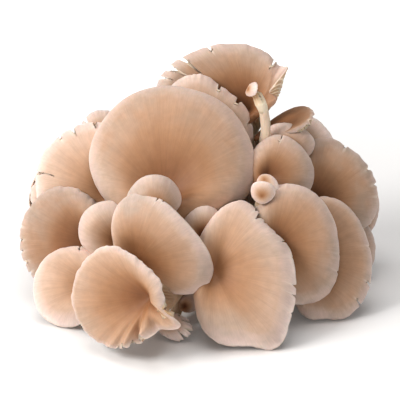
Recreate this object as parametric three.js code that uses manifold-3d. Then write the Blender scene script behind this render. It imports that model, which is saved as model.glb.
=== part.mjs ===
// Oyster mushroom cluster: fan shaped caps with gills below, on stems that are grown together in a cut base.
// Millimetres, +Z up. The origin is the centre of the flat cut under the base, and the front faces -Y.
import * as THREE from "three";
import { mergeVertices } from "three/addons/utils/BufferGeometryUtils.js";
import Module from "manifold-3d";

const wasm = await Module();
wasm.setup();

const V = (x, y, z) => new THREE.Vector3(x, y, z);
const TURN = 2 * Math.PI;

// Driving dimensions shared by every mushroom
const RIM_THICKNESS = 1.2; // flesh near the rim
const HEART_THICKNESS = 4; // flesh over the stem
const GILL_DEPTH = 2.4; // ridge to valley, half way out
const ROLL_RADIUS = 8; // bend of the margin, which turns down
const ROLL_ANGLE = 1.45; // how far it turns, in radians
const CURL_LENGTH = 0.5; // by how much more of the margin takes part where it curls up and over
const NECK_LENGTH = 12; // the part of each stem that belongs to its cap
const JOINT_GAP = 0.3; // between a cap's neck and the stem that carries it
const CLEARANCE = 0.6; // between a cap and what it would touch
const SMALL_WIDTH = 35; // caps up to this have fewer rows across
const STEM_SIDES = 8;
const FOOT_RADIUS = 18; // circle in the base on which the stems end
const RIM_WAVE = 0.014; // share of its radius by which a rim wanders in and out
const PHASE_STEP = 1.7; // turn of those waves from one mushroom to the next

// Base: the block of grown-together tissue, cut flat below
const BASE_RINGS = [
  { z: 0, radius: 27 },
  { z: 4, radius: 31 },
  { z: 13, radius: 31 },
  { z: 22, radius: 25 },
  { z: 29, radius: 15 },
];
const BASE_SIDES = 20;

// Each mushroom. heart is the point of the rim's plane over the stem, and tip the far end of the rim in that
// plane. face is a vector that the upper side looks along. width is side to side, back is from the heart to
// the near rim, and side moves the rim's middle across. dip is the depth of the funnel under the heart, arch
// the fall of the sides and droop the fall of the tip. splits are cuts in the rim, each [turn from the tip in
// degrees, share cut]. bulges are stretches where the rim stands further out, [turn, half span, share of the
// radius]. lift is a stretch of the margin that bends up, [turn, half span, height]. curl is a stretch of
// it that rolls up and over instead of down, [turn, half span, strength], flat at strength 1. ruffle is a
// pleated stretch, [turn, half span, height, pleats in a full turn]. foot is where the stem ends, in the base
// unless another place is given.
const MUSHROOMS = [
  {
    name: "cap_big", heart: [-18, -32, 65], tip: [-10, 8, 111], face: [-1, -10, 8], width: 86, back: 14,
    dip: 14, arch: 14, droop: 6, roll: 11, stem: 8, gills: 24, bulges: [[-62, 42, -0.09]],
  },
  {
    name: "cap_top", heart: [25, 25, 88], tip: [17, 41, 120], face: [0, -10, 6], width: 66, back: 9,
    side: 12, dip: 11, arch: 0, droop: 2, stem: 6.5, gills: 22,
    splits: [[65, 0.7], [40, 0.6], [14, 0.4], [-50, 0.5]], bulges: [[-105, 45, -0.1]], lift: [-80, 45, 1.5],
    curl: [-112, 38, 3.0],
  },
  {
    name: "cap_behind_big", heart: [-4, -3, 68], tip: [0, 21, 110], face: [1, -10, 7], width: 56, back: 11,
    dip: 12, arch: 8, droop: 5, flare: -0.3, stem: 6.5, gills: 22, splits: [[-32, 0.35], [-50, 0.4]],
    bulges: [[-72, 40, 0.2]],
  },
  {
    name: "cap_front", heart: [5.6, -60, 37.6], tip: [43.9, -61, 43.6], face: [1, -10, 8], width: 72,
    back: 9, dip: 9, arch: 8, droop: 6, stem: 7, gills: 22, splits: [[62, 0.4]],
    bulges: [[-138, 45, 0.27], [-66, 30, 0.09], [45, 45, -0.25]],
  },
  {
    name: "cap_curled", heart: [-27, -84, 33], tip: [-63, -68, 28], face: [-4, -10, 3], width: 48, back: 11,
    side: 1, dip: 12, arch: 3, droop: 4, roll: 4, stem: 6, gills: 22,
    bulges: [[158, 17, 0.33], [-120, 42, -0.08]], ruffle: [120, 60, 4.2, 9],
  },
  {
    name: "cap_low_left", heart: [-51, -50, 25.5], tip: [-84, -40, 26], face: [-5, -10, 9], width: 41,
    back: 6, dip: 8, arch: 6, droop: 6, stem: 5.5, gills: 16,
  },
  {
    name: "cap_left", heart: [-54, -26, 36], tip: [-93, -14, 37], face: [-5, -10, 5], width: 52, back: 9,
    dip: 9, arch: 5, droop: 4, stem: 6, gills: 18,
  },
  {
    name: "cap_centre", heart: [-32, -63, 41], tip: [-11, -62, 64], face: [-2, -10, 4], width: 57, back: 5,
    side: -2, dip: 8, arch: 7, droop: 5, roll: 6, stem: 6, gills: 18,
  },
  {
    name: "cap_centre_left", heart: [-37, -41, 41], tip: [-56, -37, 55], face: [-3, -10, 5], width: 30,
    back: 8, dip: 7, arch: 5, droop: 4, stem: 4.5, gills: 14,
  },
  {
    name: "cap_lobe", heart: [-21, -50, 61.5], tip: [-23, -46, 78], face: [0, -10, 4], width: 26, back: 4,
    dip: 4, arch: 7, droop: 4, flare: -0.15, stem: 3.5, gills: 12,
  },
  {
    name: "cap_small_centre", heart: [1.5, -43, 46.5], tip: [2.5, -40, 60.5], face: [2, -10, 6], width: 20,
    back: 6, dip: 4, arch: 4, droop: 3, stem: 4, gills: 10,
  },
  {
    name: "cap_mid_right", heart: [35, -44, 41], tip: [68, -38, 47], face: [4, -10, 6], width: 60, back: 11,
    dip: 9, arch: 7, droop: 5, stem: 6, gills: 20,
  },
  {
    name: "cap_right", heart: [46.5, -31, 32], tip: [85, -26.5, 34], face: [4, -10, 8.5], width: 63,
    back: 5, dip: 12, arch: 5, droop: 6, roll: 6, stem: 6, gills: 20, bulges: [[-130, 35, 0.2]],
  },
  {
    name: "cap_upper_right", heart: [55, 0, 46], tip: [89, 13, 61], face: [4, -10, 7], width: 51, back: 9,
    dip: 9, arch: 7, droop: 5, stem: 6, gills: 18, bulges: [[68, 45, 0.14]],
  },
  {
    name: "cap_fold", heart: [33, -13, 65], tip: [54, -5, 77], face: [3, -10, 7], width: 35, back: 7,
    dip: 7, arch: 5, droop: 4, stem: 5, gills: 14,
  },
  {
    name: "cap_upper_left", heart: [-45, -5, 54], tip: [-80, 13, 72], face: [-6, -9, 8], width: 58,
    back: 10, dip: 9, arch: 6, droop: 4, stem: 6, gills: 18, splits: [[-35, 0.5], [10, 0.4], [40, 0.3]],
  },
  {
    name: "cap_dark", heart: [30, 22, 75], tip: [56.5, 25, 88], face: [-4, -1, 10], width: 24, back: 4,
    dip: 3, arch: 0, droop: 0, roll: 2, flare: 0.5, stem: 4, gills: 12,
  },
  {
    name: "cap_right_of_dark", heart: [43.5, 8, 69.5], tip: [49, 10, 82.5], face: [2, -10, 7], width: 25,
    back: 5, dip: 4, arch: 4, droop: 3, stem: 3.5, gills: 12,
  },
  {
    name: "cap_pink", heart: [48, 26, 62], tip: [63, 28, 77], face: [3, -10, 8], width: 30, back: 8, dip: 6,
    arch: 4, droop: 3, stem: 4.5, gills: 14,
  },
  {
    name: "cap_far_right", heart: [66, 18, 30], tip: [94, 26, 42], face: [9, -8, 5], width: 44, back: 9,
    dip: 7, arch: 5, droop: 4, stem: 5, gills: 14,
  },
  {
    name: "cap_low_right", heart: [66, 0, 22.5], tip: [92, 8, 25.5], face: [9, -8, 7], width: 38, back: 9,
    dip: 7, arch: 5, droop: 4, stem: 5, gills: 14,
  },
  {
    name: "cap_left_lobe", heart: [-44, 18, 69], tip: [-58, 24, 84.5], face: [-4, -10, 8], width: 24,
    back: 7, dip: 5, arch: 3, droop: 3, stem: 4, gills: 12,
  },
  {
    name: "cap_far_left", heart: [-62, 9, 41], tip: [-87, 16, 51], face: [-9, -8, 8], width: 28, back: 8,
    dip: 6, arch: 4, droop: 4, stem: 4.5, gills: 12,
  },
  {
    name: "cap_young", heart: [23, 6, 104.3], tip: [24.5, 5, 108], face: [-7, -3, 4], width: 7.5, back: 3.5,
    dip: 1, arch: 2, droop: 2, stem: 2.6, gills: 8, foot: [8, 5, 22],
  },
  {
    name: "cap_bud_upper", heart: [31, -20, 66.9], tip: [35, -18.5, 69.4], face: [0, -3, 10], width: 14,
    back: 4, dip: 0.3, arch: 2.5, droop: 2, stem: 2.6, gills: 8,
  },
  {
    name: "cap_bud_lower", heart: [29.5, -32, 63], tip: [31, -30.5, 69.3], face: [1, -8, 10], width: 12,
    back: 4, dip: 0.5, arch: 2, droop: 2, stem: 2.4, gills: 8,
  },
  {
    name: "cap_base_frill", heart: [-17, -59, 9.5], tip: [-5, -64, 8.5], face: [2, -10, 8], width: 13,
    back: 5, dip: 3, arch: 1, droop: 1, stem: 3, gills: 10,
  },
  {
    name: "cap_base_bud", heart: [-8, -48, 12], tip: [-3, -50, 17], face: [0, -10, 6], width: 9, back: 3,
    dip: 2, arch: 1, droop: 1, stem: 2.4, gills: 8,
  },
  {
    name: "cap_back_big", heart: [-10, 53, 53], tip: [-16, 37, 89], face: [0, 10, 7], width: 74, back: 9,
    dip: 12, arch: 11, droop: 5, roll: 10, stem: 7, gills: 18, bulges: [[-55, 40, 0.1], [75, 35, -0.1]],
  },
  {
    name: "cap_back_right", heart: [42, 59, 39], tip: [68, 51, 59], face: [4, 10, 3], width: 57, back: 7,
    dip: 9, arch: 7, droop: 5, stem: 6, gills: 14, bulges: [[-105, 40, 0.15], [20, 30, 0.08]],
  },
  {
    name: "cap_back_left", heart: [-58, 44, 40], tip: [-82, 36, 60], face: [-7, 10, 7], width: 54, back: 7,
    dip: 9, arch: 7, droop: 5, stem: 6, gills: 14, bulges: [[95, 40, 0.12]],
  },
  {
    name: "cap_back_low", heart: [-2, 70, 33], tip: [34, 68, 34], face: [1, 10, 6], width: 58, back: 8,
    dip: 9, arch: 8, droop: 5, stem: 6, gills: 14, bulges: [[-70, 35, 0.1], [60, 30, -0.08]],
  },
  {
    name: "cap_back_low_left", heart: [-38, 63, 26], tip: [-67, 54, 30], face: [-4, 10, 6], width: 42,
    back: 7, dip: 8, arch: 6, droop: 5, stem: 5.5, gills: 12, bulges: [[-60, 40, 0.12]],
  },
  {
    name: "cap_back_low_right", heart: [60, 55, 22.3], tip: [88, 44, 25.8], face: [8, 10, 6], width: 39,
    back: 7, dip: 7, arch: 6, droop: 4, stem: 5, gills: 12,
  },
];

// One mushroom's own axes: e1 from heart to tip, n out of the upper side, e2 across.
function frameOf(m) {
  const heart = V(...m.heart);
  const e1 = V(...m.tip).sub(heart);
  const reach = e1.length();
  e1.normalize();
  const n = V(...m.face);
  n.addScaledVector(e1, -n.dot(e1)).normalize();
  const e2 = n.clone().cross(e1);
  return { heart, e1, e2, n, reach, phase: PHASE_STEP * MUSHROOMS.indexOf(m) };
}

// A place of the rim in the rim's plane, relative to the heart, at turn t from the tip.
function rimAt(m, f, t) {
  const a = (f.reach + m.back) / 2;
  const shift = (f.reach - m.back) / 2;
  const half = (m.width / 2) * (1 + (m.flare ?? 0.1) * Math.cos(t));
  let wave = 1 + RIM_WAVE * (Math.sin(3 * t + f.phase) + 0.7 * Math.sin(5 * t + 2 * f.phase));
  for (const [degrees, halfSpan, share] of m.bulges ?? []) wave += share * stretchAt(t, degrees, halfSpan);
  return [shift + a * wave * Math.cos(t), (m.side ?? 0) + half * wave * Math.sin(t)];
}

// 1 at the middle of a stretch of the rim, falling to 0 at its ends.
function stretchAt(t, degrees, halfSpan) {
  const turned = t - THREE.MathUtils.degToRad(degrees);
  const away = Math.abs(((turned + 3 * Math.PI) % TURN) - Math.PI) / THREE.MathUtils.degToRad(halfSpan);
  return away < 1 ? Math.cos((away * Math.PI) / 2) ** 2 : 0;
}

// How far the rim is bent up at turn t.
function bendAt(m, t) {
  let bend = 0;
  if (m.lift) bend += m.lift[2] * stretchAt(t, m.lift[0], m.lift[1]);
  if (m.ruffle) bend += m.ruffle[2] * stretchAt(t, m.ruffle[0], m.ruffle[1]) * Math.sin(m.ruffle[3] * t);
  return bend;
}

// How much of the way to the rim a split takes at turn t. notch is the split's half width.
function cutAt(m, t, notch) {
  let cut = 0;
  for (const [degrees, share] of m.splits ?? []) {
    const centre = Math.round((degrees * Math.PI) / 180 / notch) * notch;
    const away = Math.abs(((t - centre + 3 * Math.PI) % TURN) - Math.PI);
    cut = Math.max(cut, share * (1 - away / notch));
  }
  return cut;
}

// The upper side at v: 0 is the bottom of the funnel, 1 the start of the rolled margin, 2 its end.
function upperAt(m, f, along, t) {
  const v = along * (1 - 0.5 * cutAt(m, t, TURN / m.gills) * (along / 2) ** 3);
  const [r1, r2] = rimAt(m, f, t);
  const radius = Math.hypot(r1, r2);
  const roll = Math.min(m.roll ?? ROLL_RADIUS, radius * 0.4);
  const s = Math.min(v, 1);
  const curl = m.curl ? m.curl[2] * stretchAt(t, m.curl[0], m.curl[1]) : 0;
  const arc = Math.max(v - 1, 0) * ROLL_ANGLE * roll * (1 + CURL_LENGTH * Math.max(curl - 1, 0));
  const turn = Math.max(v - 1, 0) * ROLL_ANGLE * (1 - curl);
  const out = Math.abs(turn) < 1e-6 ? 1 : Math.sin(turn) / turn;
  const down = Math.abs(turn) < 1e-6 ? 0 : (1 - Math.cos(turn)) / turn;
  const rho = (s * (radius - roll) + arc * out) / radius;
  const x1 = r1 * rho;
  const x2 = r2 * rho;
  const fall = m.arch * (x2 / (m.width / 2)) ** 2 + m.droop * Math.max(0, x1 / f.reach) ** 2;
  const z = -m.dip * (1 - s) ** 2.2 - fall - arc * down + bendAt(m, t) * s ** 3;
  return f.heart.clone().addScaledVector(f.e1, x1).addScaledVector(f.e2, x2).addScaledVector(f.n, z);
}

// Straight down from the upper side, by its own slope there.
function insideNormalAt(m, f, v, t) {
  const h = 0.02;
  const along = upperAt(m, f, v + h, t).sub(upperAt(m, f, v - h, t));
  const across = upperAt(m, f, v, t + h).sub(upperAt(m, f, v, t - h));
  return across.cross(along).normalize();
}

function lowerAt(m, f, v, t, depth) {
  return upperAt(m, f, v, t).addScaledVector(insideNormalAt(m, f, v, t), depth);
}

// The middle line of a stem, from just under the funnel to its foot. It leaves the cap square to the rim's
// plane and down, and comes into the base from outside and above.
function spineOf(m, f) {
  const start = f.heart.clone().addScaledVector(f.n, -m.dip - 1);
  const turn = Math.atan2(start.y, start.x);
  const inBase = V(FOOT_RADIUS * Math.cos(turn), FOOT_RADIUS * Math.sin(turn), 8 + 0.16 * start.z);
  const foot = m.foot ? V(...m.foot) : inBase;
  const length = start.distanceTo(foot);
  const leave = f.n.clone().multiplyScalar(-1).add(V(0, 0, -0.7)).normalize();
  return new THREE.CubicBezierCurve3(
    start,
    start.clone().addScaledVector(leave, 0.35 * length),
    foot.clone().add(V(0.2 * length * Math.cos(turn), 0.2 * length * Math.sin(turn), 0.3 * length)),
    foot,
  );
}

function ringOn(spine, along, radius, f, sides, spread = () => 1) {
  const u = Math.min(along, 1);
  const middle = spine.getPointAt(u);
  const down = spine.getTangentAt(u);
  const e1 = f.e1.clone().addScaledVector(down, -f.e1.dot(down)).normalize();
  const e2 = e1.clone().cross(down);
  return Array.from({ length: sides }, (_, i) => {
    const t = (TURN * i) / sides;
    const r = radius * spread(i);
    return middle.clone().addScaledVector(e1, r * Math.cos(t)).addScaledVector(e2, r * Math.sin(t));
  });
}

// A closed solid from loops of points, first to last. A single point closes an end, and an end loop is closed
// flat.
function solidFromLoops(loops) {
  const points = loops.flat();
  const starts = [];
  let count = 0;
  for (const loop of loops) {
    starts.push(count);
    count += loop.length;
  }
  const index = [];
  for (let k = 0; k + 1 < loops.length; k++) {
    const [n, m] = [loops[k].length, loops[k + 1].length];
    let [i, j] = [0, 0];
    while (i < n || j < m) {
      const a = starts[k] + (i % n);
      const b = starts[k + 1] + (j % m);
      if (j === m || (i < n && (i + 0.5) / n <= (j + 0.5) / m)) {
        if (n > 1) index.push(a, starts[k] + ((i + 1) % n), b);
        i++;
      } else {
        if (m > 1) index.push(a, starts[k + 1] + ((j + 1) % m), b);
        j++;
      }
    }
  }
  const close = (k, flip) => {
    if (loops[k].length < 3) return;
    const middle = loops[k].reduce((sum, p) => sum.add(p), V(0, 0, 0)).divideScalar(loops[k].length);
    points.push(middle);
    for (let i = 0; i < loops[k].length; i++) {
      const a = starts[k] + i;
      const b = starts[k] + ((i + 1) % loops[k].length);
      index.push(points.length - 1, flip ? b : a, flip ? a : b);
    }
  };
  close(0, true);
  close(loops.length - 1, false);
  return solidOf(points, index);
}

function solidOf(points, index) {
  let sixVolumes = 0;
  for (let i = 0; i < index.length; i += 3) {
    const [a, b, c] = [0, 1, 2].map((k) => points[index[i + k]]);
    sixVolumes += a.dot(b.clone().cross(c));
  }
  if (sixVolumes < 0) index.reverse();
  let geometry = new THREE.BufferGeometry().setFromPoints(points).setIndex(index);
  geometry = mergeVertices(geometry, 1e-4);
  const mesh = new wasm.Mesh({
    numProp: 3,
    vertProperties: new Float32Array(geometry.attributes.position.array),
    triVerts: new Uint32Array(geometry.index.array),
  });
  return new wasm.Manifold(mesh);
}

const neckEndOf = (spine) => Math.min(0.45, NECK_LENGTH / spine.getLength());

// swell moves every side outward: the form that a neighbour has to keep clear of.
function capSolid(m, swell = 0) {
  const f = frameOf(m);
  const spine = spineOf(m, f);
  const neckEnd = neckEndOf(spine);
  const columns = m.gills;
  const row = (count, at) => Array.from({ length: count }, (_, i) => at(i));
  const upperRow = (v) => row(columns, (i) => lowerAt(m, f, v, (TURN * i) / columns, -swell));
  const fluted = (i) => (i % 2 ? 1.08 : 0.95);
  const neck = ringOn(spine, neckEnd * 0.75, m.stem * 1.15 + swell, f, 2 * columns, fluted);
  // Gills: every second column of the lower side is a ridge. share is how far the row has become the neck.
  const lowerRow = (v, flesh, gill, share = 0) =>
    row(2 * columns, (i) => {
      const t = (TURN * (i - 0.5)) / (2 * columns);
      return lowerAt(m, f, v, t, flesh + (i % 2 ? gill : 0) + swell).lerp(neck[i], share);
    });
  const past = 0.1 * swell;
  const rows = m.width > SMALL_WIDTH ? [0.35, 0.7, 1.05, 1.5] : [0.5, 1.05, 1.5];
  return solidFromLoops([
    [upperAt(m, f, 0, 0).addScaledVector(f.n, swell)],
    ...rows.map(upperRow),
    upperRow(2 + past),
    lowerRow(1.55 + past, RIM_THICKNESS, 0.5),
    lowerRow(0.95, RIM_THICKNESS * 1.5, GILL_DEPTH * 0.8),
    lowerRow(0.5, HEART_THICKNESS * 0.8, GILL_DEPTH, 0.35),
    ringOn(spine, neckEnd, m.stem + swell, f, STEM_SIDES),
  ]);
}

function stemSolid(m, swell = 0) {
  const f = frameOf(m);
  const spine = spineOf(m, f);
  const from = neckEndOf(spine) + JOINT_GAP / spine.getLength();
  const steps = m.width > SMALL_WIDTH ? 3 : 2;
  const loops = [];
  for (let k = 0; k <= steps; k++) {
    const u = from + ((1 - from) * k) / steps;
    loops.push(ringOn(spine, u, m.stem * (1 + (0.25 * k) / steps) + swell, f, STEM_SIDES));
  }
  return solidFromLoops(loops);
}

function baseSolid() {
  const loops = BASE_RINGS.map(({ z, radius }, k) =>
    Array.from({ length: BASE_SIDES }, (_, i) => {
      const t = (TURN * i) / BASE_SIDES;
      const lump = 1 + 0.05 * Math.sin(3 * t + 1 + 0.3 * k) + 0.04 * Math.sin(5 * t + 0.6 * k);
      return V(radius * lump * Math.cos(t), radius * lump * Math.sin(t), z);
    }),
  );
  return solidFromLoops(loops);
}

const toGeometry = (solid) => {
  const made = solid.getMesh();
  return new THREE.BufferGeometry()
    .setAttribute("position", new THREE.BufferAttribute(new Float32Array(made.vertProperties), 3))
    .setIndex(new THREE.BufferAttribute(new Uint32Array(made.triVerts), 1));
};

// The largest body of a solid, without slivers cut loose or pockets closed in where stems run together.
function mainBody(solid) {
  return solid.decompose().sort((a, b) => b.volume() - a.volume())[0];
}

// A cap gives way to those before it in the list, and to every stem but its own.
function clearCap(i) {
  let cap = capSolid(MUSHROOMS[i]);
  MUSHROOMS.forEach((other, j) => {
    if (j < i) cap = cap.subtract(capSolid(other, CLEARANCE)).subtract(capSolid(other));
    if (j !== i) cap = cap.subtract(stemSolid(other, CLEARANCE));
  });
  return mainBody(cap);
}

function meshOf(name, solid, color, roughness) {
  const material = new THREE.MeshStandardMaterial({ color, roughness, metalness: 0 });
  const mesh = new THREE.Mesh(toGeometry(solid), material);
  mesh.name = name;
  return mesh;
}

const group = new THREE.Group();
let base = baseSolid();
for (const m of MUSHROOMS) base = base.add(stemSolid(m));
group.add(meshOf("base_and_stems", mainBody(base), 0xe8dcc6, 0.8));
MUSHROOMS.forEach((m, i) => group.add(meshOf(m.name, clearCap(i), 0xc9a98a, 0.7)));
export default group;
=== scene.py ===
"""Oyster mushroom cluster: the fine surface of every cap, of its gills, and of the stems and the base."""
import math
import bpy
import numpy as np
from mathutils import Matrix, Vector, kdtree


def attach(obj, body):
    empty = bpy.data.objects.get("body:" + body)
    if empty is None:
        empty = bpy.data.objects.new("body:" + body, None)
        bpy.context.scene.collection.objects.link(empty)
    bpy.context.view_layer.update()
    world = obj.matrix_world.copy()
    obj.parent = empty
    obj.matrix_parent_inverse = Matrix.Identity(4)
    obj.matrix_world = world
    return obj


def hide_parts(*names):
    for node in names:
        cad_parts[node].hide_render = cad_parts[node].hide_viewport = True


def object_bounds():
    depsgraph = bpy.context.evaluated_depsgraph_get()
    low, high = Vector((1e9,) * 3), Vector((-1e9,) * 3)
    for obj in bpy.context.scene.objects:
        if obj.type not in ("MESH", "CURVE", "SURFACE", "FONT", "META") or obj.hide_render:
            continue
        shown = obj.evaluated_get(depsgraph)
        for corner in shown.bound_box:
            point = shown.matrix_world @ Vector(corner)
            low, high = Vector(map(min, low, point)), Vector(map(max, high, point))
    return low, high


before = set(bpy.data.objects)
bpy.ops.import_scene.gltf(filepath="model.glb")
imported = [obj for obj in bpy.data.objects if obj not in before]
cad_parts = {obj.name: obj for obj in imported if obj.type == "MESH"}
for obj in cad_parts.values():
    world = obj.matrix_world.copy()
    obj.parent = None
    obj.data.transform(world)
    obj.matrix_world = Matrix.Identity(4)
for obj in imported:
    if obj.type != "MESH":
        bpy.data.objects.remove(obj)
cad_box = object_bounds()

MM = 0.001
TURN = 2 * math.pi
# The corners of the solids' box in millimetres: nothing reaches past them
LOWEST, HIGHEST = (np.array(corner) / MM for corner in cad_box)

# Measures that every mushroom shares, the same as those of its solid. Lengths are in millimetres
ROLL_RADIUS = 8  # bend of the margin, which turns down
ROLL_ANGLE = 1.45  # how far it turns, in radians
CURL_LENGTH = 0.5  # by how much more of the margin takes part where it curls up and over
NECK_LENGTH = 12  # the part of each stem that belongs to its cap
NECK_MOST = 0.45  # the largest share of the stem that this part may be
NECK_START = 0.75  # share of the neck at which the under side of the cap ends
FOOT_RADIUS = 18  # circle in the base on which the stems end
FOOT_HEIGHT = 8  # height at which the stem of a cap on the ground would end
FOOT_RISE = 0.16  # how much higher it ends for each millimetre that its cap is higher
STEM_TAPER = 0.25  # by how much a stem is thicker at its foot
STEM_GAP = 0.3  # between a cap's neck and its stem
RIM_WAVE = 0.014  # share of its radius by which a rim wanders in and out
PHASE_STEP = 1.7  # turn of those waves from one mushroom to the next
SMALL_WIDTH = 35  # caps up to this have fewer rows and finer gills
GILL_DEPTH = 2.4  # ridge to valley

# What differs from the solids: the flesh over the gills, how much wider than its stem a neck begins, and how
# far the neck's end tucks into the stem
RIM_THICKNESS = 0.8
HEART_THICKNESS = 3.2
NECK_SWELL = 1.1
TUCK = 2.5

# How finely the surfaces are drawn. Pitches, from gill to gill at the rim, and the voxel are in millimetres
GILL_PITCH = 2.3
SMALL_GILL_PITCH = 1.7
SPINE_STEPS = 200
STEM_STEPS = 12
STEM_SIDES = 28
BASE_LAYERS = 16
BASE_SIDES = 64
FIBRE_SPOTS = 50
SKIN_VOXEL = 1.15
# The columns of one gill: the bottom between two gills, a foot, the edge, and the other foot, with their
# places in the gill's share of the turn and their shares of its height
GILL_COLUMNS = [0, 0.32, 0.5, 0.68]
GILL_HEIGHTS = [0, 0.1, 1, 0.1]

# Heights and radii of the base's rings, the height it ends at, and the height below which it is cut flat
BASE_RINGS = [(0, 27), (4, 31), (13, 31), (22, 25), (29, 15)]
BASE_TOP = 30
CUT_HEIGHT = 0.9

# Where the neck lies for its material, on the way from 0 at the heart to 2 at the margin's end
NECK_ALONG = 0.2
# The height from which the stems are pale
PALE_HEIGHT = 60

# Where the cluster is seen from: distance and aim in metres, tilt in degrees, lens and sensor in millimetres
CAMERA_DISTANCE = 0.8
CAMERA_TILT = 22
CAMERA_LENS = 144
CAMERA_SENSOR = 36
CAMERA_AIM = (0, 0, 0.048)
LIGHTS_AIM = (0, 0, 0.05)

# Colours of the upper side, from the heart of the funnel to the margin: the flesh's own colour, with painted
# shade that deepens it to dark orange brown down in the funnel
SKIN_AND_FUNNEL_SHADE_STOPS = [
    (0.0, (0.18, 0.068, 0.024)), (0.1, (0.23, 0.09, 0.034)), (0.2, (0.29, 0.124, 0.05)),
    (0.32, (0.375, 0.188, 0.092)), (0.46, (0.455, 0.266, 0.162)), (0.62, (0.55, 0.373, 0.272)),
    (0.84, (0.72, 0.547, 0.464)), (1.0, (0.9, 0.73, 0.658)),
]
WORN = (0.38, 0.305, 0.245, 1)
BLUSH = (0.56, 0.41, 0.375, 1)
RIM_BAND = (0.82, 0.69, 0.59, 1)
TORN_FLESH = (0.82, 0.70, 0.57, 1)
# Colours of the gills, from the bottom between them, darkened there as painted shade, to their edges,
# and of the neck
GILL_AND_VALLEY_SHADE_STOPS = [(0.0, (0.5, 0.3, 0.16)), (0.3, (0.74, 0.55, 0.36)), (1.0, (0.88, 0.76, 0.58))]
NECK_DARK = (0.8, 0.66, 0.47, 1)
NECK_PALE = (0.88, 0.78, 0.62, 1)
# Painted shade: the brown that the under sides take deep among the stems near the base
PAINTED_SHADE_BROWN = (0.30, 0.15, 0.07, 1)
STEM_STOPS = [(0.25, (0.62, 0.43, 0.28)), (0.5, (0.79, 0.63, 0.48)), (0.75, (0.88, 0.76, 0.63))]
STEM_FOOT = (0.42, 0.25, 0.135, 1)
EARTH = (0.26, 0.14, 0.07, 1)
FLOOR_TINTS = (0.9, 0.89, 0.885, 1), (0.92, 0.91, 0.905, 1)
STUDIO_WHITE = (1.0, 0.985, 0.97, 1)
STUDIO_LIGHT = 0.3

# How far red, green and blue light spread in the flesh, as shares of SPREAD metres, and how much it shines
LIGHT_REACH = (1.0, 0.42, 0.22)
SPREAD = 0.0025
SHINE = 0.32
# Heights of the fibres in metres
CAP_FIBRES = 0.00005
STEM_FIBRES = 0.0004
# The radii and heights in metres between which the painted shade among the stems fades
SHADE_RADII = 0.1, 0.075
SHADE_HEIGHTS = 0.07, 0.045

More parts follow.
